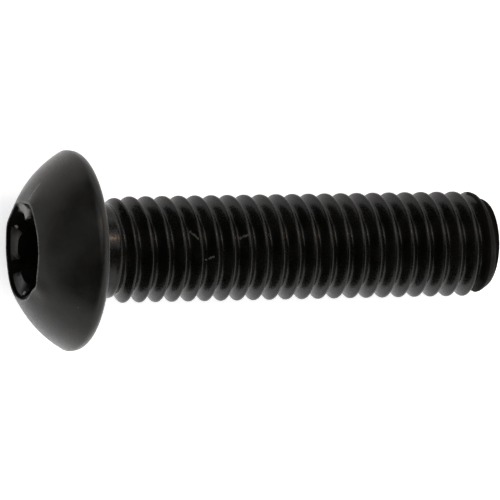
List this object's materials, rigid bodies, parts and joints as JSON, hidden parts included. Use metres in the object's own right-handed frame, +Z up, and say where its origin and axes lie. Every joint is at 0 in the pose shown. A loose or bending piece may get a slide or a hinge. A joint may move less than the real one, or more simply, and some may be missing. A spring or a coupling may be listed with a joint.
{
  "type": "button head screw",
  "caption": "Black button head socket screw: a low domed head with a hexagon socket, a short plain neck, a metric machine thread and a tapered point.",
  "frame": {"origin": "on the floor under the middle of the screw's bounding box, the screw lying at rest on the rim of its head and on the end of its thread", "axes": "+Z up; the screw's axis lies in the XZ plane and runs from the head at -X to the point at +X, falling 6.3 degrees towards the point"},
  "size_m": [0.023, 0.0092, 0.0091],
  "materials": {
    "black_steel": "satin black oxide, glossier on the rolled thread"
  },
  "bodies": {
    "root": {"screw": "black_steel"}
  },
  "joints": []
}
